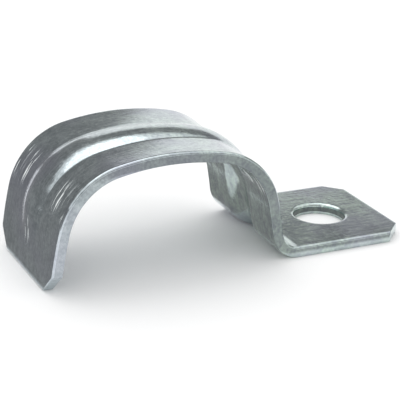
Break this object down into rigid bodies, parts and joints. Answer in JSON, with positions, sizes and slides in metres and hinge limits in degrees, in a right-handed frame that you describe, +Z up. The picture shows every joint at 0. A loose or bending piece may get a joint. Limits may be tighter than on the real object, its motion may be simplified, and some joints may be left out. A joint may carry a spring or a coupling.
{
  "type": "conduit strap",
  "caption": "Pressed steel conduit strap: flattened saddle with a raised stiffening bead, a free end, and a flat foot with a punched screw hole.",
  "frame": {"origin": "on the axis of the screw hole, in the mounting plane under the foot", "axes": "+X along the strip from the saddle to the foot's end, +Y across the strip, +Z up from the mounting plane, out of the screw hole"},
  "size_m": [0.0435, 0.016, 0.0145],
  "materials": {
    "zinc_plate": "bright zinc plate over cold-rolled steel, slightly mottled"
  },
  "bodies": {
    "root": {"strap": "zinc_plate"}
  },
  "joints": []
}
